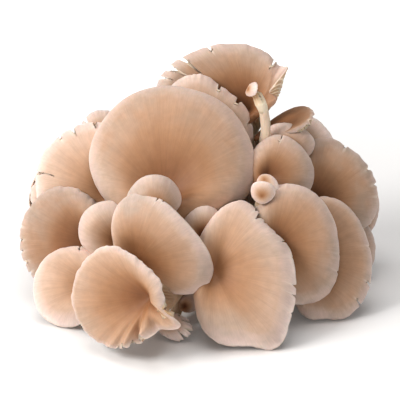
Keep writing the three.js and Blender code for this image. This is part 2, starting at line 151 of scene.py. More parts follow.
# One row for each mushroom, the same as that of its solid but for the gills and splits. heart is the
# funnel's centre, tip the far end of the cap, and face points out of its upper side. back and side say how
# far the cap reaches behind and beside its heart. dip is the depth of the funnel, arch and droop the fall
# across the cap and to its tip, roll the radius of the margin, flare how much wider the cap is at its tip,
# and stem the stem's radius. foot is where the stem stands, if not on the ring round the base. lift, curl,
# bulges and ruffle change a stretch of the margin, each by (turn from the tip in degrees, half span,
# amount), and a ruffle has its folds in a full turn too.
MUSHROOMS = [
    dict(name="cap_big", heart=(-18, -32, 65), tip=(-10, 8, 111), face=(-1, -10, 8), width=86, back=14,
         dip=14, arch=14, droop=6, roll=11, stem=8, bulges=[(-62, 42, -0.09)]),
    dict(name="cap_top", heart=(25, 25, 88), tip=(17, 41, 120), face=(0, -10, 6), width=66, back=9, side=12,
         dip=11, arch=0, droop=2, stem=6.5, bulges=[(-105, 45, -0.1)], lift=(-80, 45, 1.5),
         curl=(-112, 38, 3.0)),
    dict(name="cap_behind_big", heart=(-4, -3, 68), tip=(0, 21, 110), face=(1, -10, 7), width=56, back=11,
         dip=12, arch=8, droop=5, flare=-0.3, stem=6.5, bulges=[(-72, 40, 0.2)]),
    dict(name="cap_front", heart=(5.6, -60, 37.6), tip=(43.9, -61, 43.6), face=(1, -10, 8), width=72, back=9,
         dip=9, arch=8, droop=6, stem=7, bulges=[(-138, 45, 0.27), (-66, 30, 0.09), (45, 45, -0.25)]),
    dict(name="cap_curled", heart=(-27, -84, 33), tip=(-63, -68, 28), face=(-4, -10, 3), width=48, back=11,
         side=1, dip=12, arch=3, droop=4, roll=4, stem=6, bulges=[(158, 17, 0.33), (-120, 42, -0.08)],
         ruffle=(120, 60, 4.2, 9)),
    dict(name="cap_low_left", heart=(-51, -50, 25.5), tip=(-84, -40, 26), face=(-5, -10, 9), width=41,
         back=6, dip=8, arch=6, droop=6, stem=5.5),
    dict(name="cap_left", heart=(-54, -26, 36), tip=(-93, -14, 37), face=(-5, -10, 5), width=52, back=9,
         dip=9, arch=5, droop=4, stem=6),
    dict(name="cap_centre", heart=(-32, -63, 41), tip=(-11, -62, 64), face=(-2, -10, 4), width=57, back=5,
         side=-2, dip=8, arch=7, droop=5, roll=6, stem=6),
    dict(name="cap_centre_left", heart=(-37, -41, 41), tip=(-56, -37, 55), face=(-3, -10, 5), width=30,
         back=8, dip=7, arch=5, droop=4, stem=4.5),
    dict(name="cap_lobe", heart=(-21, -50, 61.5), tip=(-23, -46, 78), face=(0, -10, 4), width=26, back=4,
         dip=4, arch=7, droop=4, flare=-0.15, stem=3.5),
    dict(name="cap_small_centre", heart=(1.5, -43, 46.5), tip=(2.5, -40, 60.5), face=(2, -10, 6), width=20,
         back=6, dip=4, arch=4, droop=3, stem=4),
    dict(name="cap_mid_right", heart=(35, -44, 41), tip=(68, -38, 47), face=(4, -10, 6), width=60, back=11,
         dip=9, arch=7, droop=5, stem=6),
    dict(name="cap_right", heart=(46.5, -31, 32), tip=(85, -26.5, 34), face=(4, -10, 8.5), width=63, back=5,
         dip=12, arch=5, droop=6, roll=6, stem=6, bulges=[(-130, 35, 0.2)]),
    dict(name="cap_upper_right", heart=(55, 0, 46), tip=(89, 13, 61), face=(4, -10, 7), width=51, back=9,
         dip=9, arch=7, droop=5, stem=6, bulges=[(68, 45, 0.14)]),
    dict(name="cap_fold", heart=(33, -13, 65), tip=(54, -5, 77), face=(3, -10, 7), width=35, back=7, dip=7,
         arch=5, droop=4, stem=5),
    dict(name="cap_upper_left", heart=(-45, -5, 54), tip=(-80, 13, 72), face=(-6, -9, 8), width=58, back=10,
         dip=9, arch=6, droop=4, stem=6),
    dict(name="cap_dark", heart=(30, 22, 75), tip=(56.5, 25, 88), face=(-4, -1, 10), width=24, back=4, dip=3,
         arch=0, droop=0, roll=2, flare=0.5, stem=4),
    dict(name="cap_right_of_dark", heart=(43.5, 8, 69.5), tip=(49, 10, 82.5), face=(2, -10, 7), width=25,
         back=5, dip=4, arch=4, droop=3, stem=3.5),
    dict(name="cap_pink", heart=(48, 26, 62), tip=(63, 28, 77), face=(3, -10, 8), width=30, back=8, dip=6,
         arch=4, droop=3, stem=4.5),
    dict(name="cap_far_right", heart=(66, 18, 30), tip=(94, 26, 42), face=(9, -8, 5), width=44, back=9,
         dip=7, arch=5, droop=4, stem=5),
    dict(name="cap_low_right", heart=(66, 0, 22.5), tip=(92, 8, 25.5), face=(9, -8, 7), width=38, back=9,
         dip=7, arch=5, droop=4, stem=5),
    dict(name="cap_left_lobe", heart=(-44, 18, 69), tip=(-58, 24, 84.5), face=(-4, -10, 8), width=24, back=7,
         dip=5, arch=3, droop=3, stem=4),
    dict(name="cap_far_left", heart=(-62, 9, 41), tip=(-87, 16, 51), face=(-9, -8, 8), width=28, back=8,
         dip=6, arch=4, droop=4, stem=4.5),
    dict(name="cap_young", heart=(23, 6, 104.3), tip=(24.5, 5, 108), face=(-7, -3, 4), width=7.5, back=3.5,
         dip=1, arch=2, droop=2, stem=2.6, foot=(8, 5, 22)),
    dict(name="cap_bud_upper", heart=(31, -20, 66.9), tip=(35, -18.5, 69.4), face=(0, -3, 10), width=14,
         back=4, dip=0.3, arch=2.5, droop=2, stem=2.6),
    dict(name="cap_bud_lower", heart=(29.5, -32, 63), tip=(31, -30.5, 69.3), face=(1, -8, 10), width=12,
         back=4, dip=0.5, arch=2, droop=2, stem=2.4),
    dict(name="cap_base_frill", heart=(-17, -59, 9.5), tip=(-5, -64, 8.5), face=(2, -10, 8), width=13,
         back=5, dip=3, arch=1, droop=1, stem=3),
    dict(name="cap_base_bud", heart=(-8, -48, 12), tip=(-3, -50, 17), face=(0, -10, 6), width=9, back=3,
         dip=2, arch=1, droop=1, stem=2.4),
    dict(name="cap_back_big", heart=(-10, 53, 53), tip=(-16, 37, 89), face=(0, 10, 7), width=74, back=9,
         dip=12, arch=11, droop=5, roll=10, stem=7, bulges=[(-55, 40, 0.1), (75, 35, -0.1)]),
    dict(name="cap_back_right", heart=(42, 59, 39), tip=(68, 51, 59), face=(4, 10, 3), width=57, back=7,
         dip=9, arch=7, droop=5, stem=6, bulges=[(-105, 40, 0.15), (20, 30, 0.08)]),
    dict(name="cap_back_left", heart=(-58, 44, 40), tip=(-82, 36, 60), face=(-7, 10, 7), width=54, back=7,
         dip=9, arch=7, droop=5, stem=6, bulges=[(95, 40, 0.12)]),
    dict(name="cap_back_low", heart=(-2, 70, 33), tip=(34, 68, 34), face=(1, 10, 6), width=58, back=8, dip=9,
         arch=8, droop=5, stem=6, bulges=[(-70, 35, 0.1), (60, 30, -0.08)]),
    dict(name="cap_back_low_left", heart=(-38, 63, 26), tip=(-67, 54, 30), face=(-4, 10, 6), width=42,
         back=7, dip=8, arch=6, droop=5, stem=5.5, bulges=[(-60, 40, 0.12)]),
    dict(name="cap_back_low_right", heart=(60, 55, 22.3), tip=(88, 44, 25.8), face=(8, 10, 6), width=39,
         back=7, dip=7, arch=6, droop=4, stem=5),
]

# What only shows close up. splits are cuts in the margin, each (turn from the tip in degrees, share cut,
# half width in degrees), and a share of 1 reaches the start of the rolled margin. pleats are fine folds of
# part of the margin, (turn, half span, height, folds in a full turn). frill is the height of the margin's
# small waves, rag how uneven its edge is, tone how dark and brown the cap is, partly its own colour and
# partly painted shade on caps that lie in shade, grey how much of it is weathered, and near how far the rim
# beside the stem keeps the dark colour and painted shade of the heart.
DETAIL = {
    "cap_big": dict(frill=0.3, rag=0.1, tone=-0.05, grey=0.35, near=1.0),
    "cap_top": dict(splits=[(-68, 1.0, 1.8), (2, 1.05, 0.9), (28, 1.4, 2.2), (43, 1.3, 5), (57, 1.0, 2.4),
                            (74, 0.8, 3)],
                    frill=0.8, rag=0.5, tone=0.05, grey=0.3),
    "cap_behind_big": dict(splits=[(-33, 1.0, 2.4), (-56, 1.0, 2.4), (-75, 0.8, 2), (10, 0.5, 1.2)],
                           frill=1.1, rag=0.4, tone=-0.3, grey=0.2),
    "cap_front": dict(splits=[(57, 0.65, 4.5), (65, 0.5, 1.5), (49, 0.45, 1.5), (30, 0.4, 1), (19, 0.45, 0.8),
                              (5, 0.4, 0.8), (-16, 0.45, 0.8), (-23, 0.6, 0.8), (-36, 0.4, 0.8)],
                      frill=0.4, rag=0.3, tone=-0.5, grey=0.4),
    "cap_curled": dict(splits=[(33, 0.75, 2.2), (66, 0.4, 1.5), (78, 0.6, 2), (88, 0.9, 2.5), (97, 1.0, 3),
                               (106, 1.0, 3), (116, 1.1, 3.5), (127, 1.0, 3.5), (-12, 0.4, 1)],
                       pleats=[(100, 50, 2.6, 15), (150, 26, 1.6, 22)],
                       frill=0.6, rag=0.7, tone=-0.2, grey=0.3, near=0.1),
    "cap_low_left": dict(splits=[(-88, 0.8, 1.5)], frill=0.4, rag=0.2, tone=-0.6, grey=0.2),
    "cap_left": dict(splits=[(-6, 0.6, 1.6), (8, 0.75, 2), (21, 0.75, 2.2), (34, 0.8, 2.4), (47, 0.75, 2),
                             (58, 0.8, 2)],
                     frill=0.5, rag=0.7, tone=0.25, grey=0.5),
    "cap_centre": dict(splits=[(31, 0.5, 0.8), (25, 0.35, 0.6)], frill=0.3, rag=0.1, tone=-0.15, grey=0.6),
    "cap_lobe": dict(frill=0.3, rag=0.1, tone=0.2, grey=0.4),
    "cap_centre_left": dict(frill=0.3, rag=0.1, tone=-0.05, grey=0.2),
    "cap_small_centre": dict(frill=0.3, rag=0.1, tone=0.0, grey=0.3),
    "cap_mid_right": dict(splits=[(-35, 0.35, 0.8), (-18, 0.35, 0.8)],
                          frill=0.4, rag=0.3, tone=0.05, grey=0.5),
    "cap_right": dict(splits=[(-28, 0.85, 1.1), (-52, 0.95, 1.2), (5, 0.35, 0.8)],
                      frill=0.4, rag=0.3, tone=0.05, grey=0.2),
    "cap_upper_right": dict(splits=[(38, 0.95, 1.5), (2, 0.7, 3), (-17, 0.75, 2.5), (-31, 0.6, 2)],
                            frill=0.8, rag=0.7, tone=0.2, grey=0.5),
    "cap_fold": dict(splits=[(48, 1.0, 1.5)], frill=0.4, rag=0.2, tone=0.15, grey=0.3),
    "cap_upper_left": dict(splits=[(24, 1.3, 2.2), (-33, 1.0, 3.5), (-17, 0.9, 1.2), (-58, 0.9, 2.5)],
                           frill=0.6, rag=0.5, tone=-0.65, grey=0.2),
    "cap_dark": dict(splits=[(-38, 0.6, 4), (-22, 0.5, 4), (-8, 0.6, 3), (8, 0.5, 3), (22, 0.4, 3)],
                     frill=0.5, rag=0.8, tone=0.55, grey=0.0),
    "cap_right_of_dark": dict(frill=0.5, rag=0.3, tone=0.05, grey=0.4),
    "cap_bud_upper": dict(frill=0.3, rag=0.2, tone=-0.9, grey=0.1, near=0),
    "cap_bud_lower": dict(frill=0.3, rag=0.2, tone=-0.5, grey=0.6, near=0),
    "cap_young": dict(frill=0.3, rag=0.2, tone=-0.7, grey=0.1, near=0),
    "cap_pink": dict(frill=0.5, rag=0.5, tone=-0.2, grey=0.2),
    "cap_left_lobe": dict(splits=[(10, 0.9, 5)], frill=0.6, rag=0.6, tone=0.0, grey=0.1),
    "cap_far_left": dict(splits=[(-20, 0.8, 4)], frill=0.5, rag=0.5, tone=-0.2, grey=0.1),
    "cap_base_frill": dict(splits=[(-35, 1.0, 6), (0, 0.9, 6), (35, 1.0, 6), (68, 0.8, 6)],
                           frill=0.8, rag=1, tone=-0.9, grey=0.1),
    "cap_back_big": dict(splits=[(-30, 1.0, 2), (15, 0.8, 1.5), (52, 1.0, 2)],
                         frill=0.6, rag=0.4, tone=-0.1, grey=0.5),
    "cap_back_right": dict(splits=[(25, 0.9, 2), (-40, 0.6, 1.5)],
                           frill=0.5, rag=0.5, tone=0.0, grey=0.5),
    "cap_back_left": dict(splits=[(-35, 1.0, 2), (10, 0.6, 1.2)],
                          frill=0.5, rag=0.5, tone=-0.3, grey=0.4),
    "cap_back_low": dict(splits=[(-15, 0.8, 2), (40, 0.7, 2)],
                         frill=0.5, rag=0.3, tone=-0.2, grey=0.5),
    "cap_back_low_left": dict(splits=[(-20, 0.7, 1.5), (30, 0.8, 2)],
                              frill=0.5, rag=0.4, tone=-0.3, grey=0.3),
    "cap_back_low_right": dict(splits=[(15, 0.8, 2)], frill=0.5, rag=0.5, tone=-0.1, grey=0.5),
}
# What holds where a mushroom's rows say nothing
PLAIN = dict(side=0, roll=ROLL_RADIUS, flare=0.1, lift=None, curl=None, ruffle=None, foot=None, bulges=(),
             splits=(), pleats=(), frill=0.4, rag=0.3, tone=0.1, grey=0.3, near=0.8)


def smooth(low, high, x):
    """0 up to low, 1 from high, and an even slope between."""
    x = np.clip((np.asarray(x, float) - low) / (high - low), 0, 1)
    return x * x * (3 - 2 * x)


def unit(v):
    return v / np.linalg.norm(v, axis=-1, keepdims=True)


def turned_away(t, degrees, half_span):
    """How far the turn t is from a place on the margin, where 1 is half_span away. Both are in degrees."""
    return np.abs((t - math.radians(degrees) + 3 * math.pi) % TURN - math.pi) / math.radians(half_span)


def wander(p, scale, seed):
    """A slow random field over the points p, about -1 to 1, whose hills are about scale apart."""
    rng = np.random.default_rng(seed)
    total = 0
    for _ in range(7):
        total = total + np.sin(p @ (rng.normal(size=3) * 1.6 / scale) + rng.uniform(0, TURN))
    return total / 4


class Mushroom:
    """One mushroom's cap, with its own axes: e1 from heart to tip, n out of the upper side, e2 across."""

    def __init__(self, index, row):
        self.__dict__.update({**PLAIN, **row, **DETAIL.get(row["name"], {})})
        self.index = index
        self.heart = np.array(self.heart, float)
        e1 = np.array(self.tip, float) - self.heart
        self.reach = np.linalg.norm(e1)
        self.e1 = e1 / self.reach
        face = np.array(self.face, float)
        self.n = unit(face - self.e1 * (face @ self.e1))
        self.e2 = np.cross(self.n, self.e1)
        self.phase = PHASE_STEP * index
        around = math.pi * (self.width + self.reach + self.back) / 2
        pitch = GILL_PITCH if self.width > SMALL_WIDTH else SMALL_GILL_PITCH
        self.gills = 2 * max(8, round(around / pitch / 2))
        self.bend_spine()

    def bend_spine(self):
        """The middle line of the stem, as points at even steps, with their directions."""
        start = self.heart - self.n * (self.dip + 1)
        turn = math.atan2(start[1], start[0])
        out = np.array([math.cos(turn), math.sin(turn), 0])
        foot = FOOT_RADIUS * out + [0, 0, FOOT_HEIGHT + FOOT_RISE * start[2]]
        if self.foot:
            foot = np.array(self.foot, float)
        length = np.linalg.norm(start - foot)
        leave = unit(-self.n + [0, 0, -0.7])
        arrive = 0.2 * length * out + [0, 0, 0.3 * length]
        controls = [start, start + leave * 0.35 * length, foot + arrive, foot]
        u = np.linspace(0, 1, SPINE_STEPS + 1)[:, None]
        weights = [(1 - u) ** 3, 3 * u * (1 - u) ** 2, 3 * u * u * (1 - u), u ** 3]
        line = sum(w * c for w, c in zip(weights, controls))
        run = np.concatenate([[0], np.cumsum(np.linalg.norm(np.diff(line, axis=0), axis=1))])
        self.length = run[-1]
        even = np.linspace(0, self.length, SPINE_STEPS + 1)
        self.line = np.stack([np.interp(even, run, line[:, k]) for k in range(3)], axis=1)
        self.down = unit(np.gradient(self.line, axis=0))
        self.neck_end = min(NECK_MOST, NECK_LENGTH / self.length)

    def spine_at(self, u):
        """The stem's middle and its direction at share u of the way from the heart to the foot."""
        place = np.clip(u, 0, 1) * SPINE_STEPS
        k = min(int(place), SPINE_STEPS - 1)
        part = place - k
        middle = self.line[k] * (1 - part) + self.line[k + 1] * part
        return middle, unit(self.down[k] * (1 - part) + self.down[k + 1] * part)

    def ring(self, u, radius, t):
        """A ring of points round the stem at u."""
        middle, down = self.spine_at(u)
        e1 = unit(self.e1 - down * (self.e1 @ down))
        e2 = np.cross(e1, down)
        radius = np.broadcast_to(radius, t.shape)[:, None]
        return middle + radius * (np.cos(t)[:, None] * e1 + np.sin(t)[:, None] * e2)

    def stretch(self, t, degrees, half_span):
        """1 in the middle of a stretch of the margin, and 0 from half_span away."""
        away = turned_away(t, degrees, half_span)
        return np.where(away < 1, np.cos(np.minimum(away, 1) * math.pi / 2) ** 2, 0)

    def bend(self, t):
        """How far the margin is lifted at turn t."""
        bend = 0 * t
        if self.lift:
            degrees, span, height = self.lift
            bend = bend + height * self.stretch(t, degrees, span)
        for degrees, span, height, folds in ([self.ruffle] if self.ruffle else []) + list(self.pleats):
            bend = bend + height * self.stretch(t, degrees, span) * np.sin(folds * t)
        return bend

    def cut(self, t):
        """The share of the margin that the splits take away at turn t."""
        cut = 0 * t
        for degrees, share, half in self.splits:
            cut = np.maximum(cut, share * np.clip(1 - turned_away(t, degrees, half), 0, 1) ** 0.8)
        return cut

    def torn(self, t):
        """1 at the two edges of every split, and falling to 0 beside them."""
        torn = 0 * t
        for degrees, share, half in self.splits:
            torn = np.maximum(torn, min(1, share) * np.clip(1.5 - turned_away(t, degrees, half), 0, 1))
        return torn

    def rim(self, t, wave=1):
        """The rim's place along e1 and e2, from the heart."""
        half = self.width / 2 * (1 + self.flare * np.cos(t))
        r1 = (self.reach - self.back) / 2 + (self.reach + self.back) / 2 * wave * np.cos(t)
        return r1, self.side + half * wave * np.sin(t)

    def upper(self, along, t):
        """The upper side at turn t. along is 0 at the bottom of the funnel and 2 at the margin's end."""
        v = along * (1 - 0.5 * self.cut(t) * (along / 2) ** 3)
        wave = 1 + RIM_WAVE * (np.sin(3 * t + self.phase) + 0.7 * np.sin(5 * t + 2 * self.phase))
        for degrees, half_span, share in self.bulges:
            wave = wave + share * self.stretch(t, degrees, half_span)
        uneven = (np.sin(9 * t + self.phase) + np.sin(16 * t + 2 * self.phase)
                  + 0.8 * np.sin(29 * t + 3 * self.phase) + 0.5 * np.sin(47 * t + self.phase))
        wave = wave + self.rag * (0.009 * uneven - 0.006) * smooth(1, 2, v)
        r1, r2 = self.rim(t, wave)
        radius = np.hypot(r1, r2)
        roll = np.minimum(self.roll, radius * 0.4)
        s = np.minimum(v, 1)
        curl = self.curl[2] * self.stretch(t, self.curl[0], self.curl[1]) if self.curl else 0 * t
        arc = np.maximum(v - 1, 0) * ROLL_ANGLE * roll * (1 + CURL_LENGTH * np.maximum(curl - 1, 0))
        turn = np.maximum(v - 1, 0) * ROLL_ANGLE * (1 - curl)
        turn = np.where(np.abs(turn) < 1e-5, 1e-5, turn)
        rho = (s * (radius - roll) + arc * np.sin(turn) / turn) / radius
        x1 = r1 * rho
        x2 = r2 * rho
        fall = self.arch * (x2 / (self.width / 2)) ** 2 + self.droop * np.maximum(0, x1 / self.reach) ** 2
        soft = np.minimum(np.sqrt(s * s + 0.012) - 0.008, 1)
        z = -self.dip * (1 - soft) ** 2.2 - fall - arc * (1 - np.cos(turn)) / turn + self.bend(t) * s ** 3
        margin = smooth(1.1, 2, v)
        z = z + self.frill * margin * (np.sin(13 * t + self.phase) + np.sin(21 * t + 2.6 * self.phase)
                                       + 0.6 * np.sin(37 * t + self.phase)) / 2.2
        place = self.heart + x1[..., None] * self.e1 + x2[..., None] * self.e2 + z[..., None] * self.n
        bump = 0.3 * wander(place, 12, 31) + 0.1 * wander(place, 4, 32) - 0.25
        return place + (bump * smooth(0.1, 0.5, along))[..., None] * self.n

    def under(self, along, t, depth):
        """The point depth under the upper side, square to it."""
        h = 0.02
        step_v = self.upper(along + h, t) - self.upper(along - h, t)
        step_t = self.upper(along, t + h) - self.upper(along, t - h)
        return self.upper(along, t) + unit(np.cross(step_t, step_v)) * np.asarray(depth)[..., None]


def grid_mesh(name, rows, loops, first, last):
    """A closed mesh of rows that are loops of as many points each. first and last close its ends."""
    points = np.concatenate([np.array([first]), rows.reshape(-1, 3), np.array([last])])
    count = len(rows)
    index = 1 + np.arange(count * loops).reshape(count, loops)
    beside = np.roll(index, -1, axis=1)
    quads = np.stack([index[:-1], beside[:-1], beside[1:], index[1:]], axis=-1).reshape(-1, 4)
    faces = quads.tolist()
    faces += [[0, b, a] for a, b in zip(index[0], beside[0])]
    faces += [[len(points) - 1, a, b] for a, b in zip(index[-1], beside[-1])]
    corners = points[quads]
    volume = np.einsum("ij,ij->", np.cross(corners[:, 0], corners[:, 1]), corners[:, 2])
    if volume < 0:
        faces = [face[::-1] for face in faces]
    mesh = bpy.data.meshes.new(name)
    mesh.from_pydata((points * MM).tolist(), [], faces)
    mesh.polygons.foreach_set("use_smooth", [True] * len(mesh.polygons))
    return mesh


def mark(mesh, name, values):
    """Gives every point of the mesh a vector that its material reads."""
    layer = mesh.attributes.new(name, "FLOAT_VECTOR", "POINT")
    layer.data.foreach_set("vector", np.asarray(values, np.float32).ravel())


def add_piece(name, mesh, material, nodes):
    piece = bpy.data.objects.new(name, mesh)
    bpy.context.collection.objects.link(piece)
    mesh.materials.append(material)
    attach(piece, "root")
    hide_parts(*nodes)


def make_cap(m, material):
    """The cap as one closed skin: rows over the upper side, back under the margin, and down to the neck."""
    gill = np.arange(m.gills)[:, None]
    t = ((gill + np.array(GILL_COLUMNS)) * TURN / m.gills).ravel()
    blade = np.tile(GILL_HEIGHTS, m.gills)
    long_gill = np.repeat(np.arange(m.gills) % 2, len(GILL_COLUMNS))
    big = m.width > SMALL_WIDTH
    upper_steps = [*np.linspace(0.03, 1, 15 if big else 9), *np.linspace(1.09, 2, 11 if big else 8)]
    # Each lower row: where it lies, the flesh over the gills, the gills' height, how far the row has gone
    # over to the neck, and the share of that height that every second gill has
    lower_steps = np.linspace(1.97, 0.5, 14 if big else 10)
    flesh = np.interp(lower_steps, [0.5, 0.95, 1.55, 2], [HEART_THICKNESS, 1.8, 1.2, RIM_THICKNESS])
    height = GILL_DEPTH * smooth(1.98, 1.1, lower_steps)
    share = 0.35 * smooth(0.95, 0.5, lower_steps)
    reach = smooth(0.65, 1.05, lower_steps)
    rows, radial, shade, edge = [], [], [], []
    torn = m.torn(t)
    # A rim that is close to the heart stays nearly as dark as the heart, painted shade included
    far = 1 - m.near * (1 - np.minimum(np.hypot(*m.rim(t)) / (0.4 * m.reach + 0.2 * m.width), 1))
    around = np.stack([np.cos(t), np.sin(t)], axis=1)

    def put(row, along, under, ridge, neck):
        """Adds a row, with what its material reads: the way the fibres run, the shade and the torn edge."""
        rows.append(row)
        radial.append(np.column_stack([around, np.full(len(t), along)]))
        kind = ridge * np.ones(len(t)) + 2 * neck
        shade.append(np.column_stack([along / 2 * far, np.full(len(t), under), kind]))
        edge.append(np.column_stack([torn * smooth(1.1, 1.8, along), np.full(len(t), along / 2), 0 * t]))

    for v in upper_steps:
        put(m.upper(np.full(len(t), v), t), v, 0, 0, 0)
    fluted = 1 + 0.07 * (blade - 0.4) * long_gill
    neck_row = m.ring(m.neck_end * NECK_START, m.stem * NECK_SWELL * fluted, t)
    for v, f, g, s, r in zip(lower_steps, flesh, height, share, reach):
        ridge = blade * np.where(long_gill, 1, r)
        row = m.under(np.full(len(t), v), t, f + ridge * g)
        put(row * (1 - s) + neck_row * s, v, 1, ridge, 0)
    last_row = rows[-1]
    for k in range(1, 6):
        s = k / 5
        swing = np.sin(s * math.pi / 2)
        ridge = blade * long_gill * (1 - 0.5 * s)
        put(last_row * (1 - swing) + neck_row * swing, 0.5 - 0.3 * s, 1, ridge, s / 2)
    for k in range(1, 4):
        u = m.neck_end * (NECK_START + (1 - NECK_START) * k / 3)
        fluted = 1 + 0.05 * (1 - k / 3) * (blade - 0.4) * long_gill
        radius = m.stem * (NECK_SWELL - (NECK_SWELL - 1) * k / 3) * fluted
        ridge = blade * long_gill * 0.5 * (1 - k / 3)
        put(m.ring(u, radius, t), NECK_ALONG, 1, ridge, 0.5 + k / 6)
    tuck = m.neck_end + TUCK / m.length
    put(m.ring(tuck, m.stem * 0.9, t), NECK_ALONG, 1, 0, 1)
    first = m.upper(np.array([0.0]), np.array([0.0]))[0]
    last = m.spine_at(tuck)[0]
    rows = np.clip(np.array(rows), LOWEST, HIGHEST)
    mesh = grid_mesh(m.name, rows, len(t), first, last)
    heart = [0, 0, 0]
    mark(mesh, "radial", np.vstack([heart, *radial, [0, 0, NECK_ALONG]]))
    mark(mesh, "shade", np.vstack([heart, *shade, [NECK_ALONG / 2, 1, 2]]))
    mark(mesh, "edge", np.vstack([heart, *edge, heart]))
    mark(mesh, "look", np.tile([m.tone, m.grey, m.index], (len(mesh.vertices), 1)))
    add_piece(m.name + "_flesh", mesh, material, [m.name])


def stem_mesh(m):
    """The stem from just below the cap's neck to its foot in the base, a little thicker on its way down."""
    t = np.arange(STEM_SIDES) * TURN / STEM_SIDES
    start = m.neck_end + STEM_GAP / m.length
    rows = []
    for u in np.linspace(start, 1, STEM_STEPS):
        lump = 1 + 0.03 * np.sin(3 * t + m.phase + 5 * u)
        rows.append(m.ring(u, m.stem * (1 + STEM_TAPER * (u - start) / (1 - start)) * lump, t))
    return grid_mesh("stem", np.array(rows), STEM_SIDES, m.spine_at(start)[0], m.spine_at(1)[0])


def base_mesh():
    """The grown-together foot of the cluster."""
    heights, radii = zip(*BASE_RINGS)
    t = np.arange(BASE_SIDES) * TURN / BASE_SIDES
    rows = []
    for z in np.linspace(0, heights[-1], BASE_LAYERS):
        lump = 1 + 0.05 * np.sin(3 * t + 1 + 0.04 * z) + 0.04 * np.sin(5 * t + 0.08 * z)
        radius = np.interp(z, heights, radii) * lump
        rows.append(np.column_stack([radius * np.cos(t), radius * np.sin(t), np.full(BASE_SIDES, z)]))
    return grid_mesh("base", np.array(rows), BASE_SIDES, (0, 0, 0), (0, 0, BASE_TOP))


def join_meshes(parts):
    """One mesh of all the parts' faces. The parts themselves go."""
    points, faces, start = [], [], 0
    for part in parts:
        points += [v.co.copy() for v in part.vertices]
        faces += [[start + i for i in face.vertices] for face in part.polygons]
        start += len(part.vertices)
        bpy.data.meshes.remove(part)
    mesh = bpy.data.meshes.new("joined")
    mesh.from_pydata(points, [], faces)
    return mesh


def run_together(parts):
    """One skin round all the parts, softened where they meet."""
    joined = bpy.data.objects.new("joined", join_meshes(parts))
    bpy.context.collection.objects.link(joined)
    remesh = joined.modifiers.new("run_together", "REMESH")
    remesh.mode = "VOXEL"
    remesh.voxel_size = SKIN_VOXEL * MM
    soften = joined.modifiers.new("soften", "SMOOTH")
    soften.factor = 0.5
    soften.iterations = 6
    depsgraph = bpy.context.evaluated_depsgraph_get()
    mesh = bpy.data.meshes.new_from_object(joined.evaluated_get(depsgraph))
    bpy.data.objects.remove(joined)
    return mesh


def read_vertices(mesh, what):
    values = np.empty(len(mesh.vertices) * 3)
    mesh.vertices.foreach_get(what, values)
    return values.reshape(-1, 3)


def make_base(mushrooms, material):
    """The cut base and the stems as one skin, with fine ridges along the stems."""
    mesh = run_together([stem_mesh(m) for m in mushrooms] + [base_mesh()])
    mesh.name = "base_and_stems_flesh"
    points = read_vertices(mesh, "co") / MM
    normals = read_vertices(mesh, "normal")
    # The nearest stem gives the way that the fibres run
    tree = kdtree.KDTree(FIBRE_SPOTS * len(mushrooms))
    spots = []
    for m in mushrooms:
        for u in np.linspace(m.neck_end, 1, FIBRE_SPOTS):
            middle, down = m.spine_at(u)
            e1 = unit(m.e1 - down * (m.e1 @ down))
            spots.append((middle, down, e1, np.cross(e1, down), u * m.length, m))
            tree.insert(Vector(middle), len(spots) - 1)
    tree.balance()
    near = [spots[tree.find(p)[1]] for p in points]
    off = points - np.array([s[0] for s in near])
    x = np.einsum("ij,ij->i", off, np.array([s[2] for s in near]))
    y = np.einsum("ij,ij->i", off, np.array([s[3] for s in near]))
    run = np.array([s[4] for s in near]) + np.einsum("ij,ij->i", off, np.array([s[1] for s in near]))
    angle = np.arctan2(y, x)
    ridges = 0.18 * np.sin(9 * angle + 0.05 * run + np.array([s[5].phase for s in near]))
    points = points + normals * (ridges + 0.25 * wander(points, 6, 77))[:, None]
    points[:, 2] = np.where(points[:, 2] < CUT_HEIGHT, 0.0, points[:, 2])
    points = np.clip(points, LOWEST, HIGHEST)
    mesh.vertices.foreach_set("co", (points * MM).ravel())
    mesh.polygons.foreach_set("use_smooth", [True] * len(mesh.polygons))
    mark(mesh, "radial", np.column_stack([np.cos(angle), np.sin(angle), run / 20]))
    up = np.clip(points[:, 2] / PALE_HEIGHT, 0, 1)
    mark(mesh, "shade", np.column_stack([up, 0 * up, 0 * up]))
    add_piece("base_and_stems_flesh", mesh, material, ["base_and_stems"])


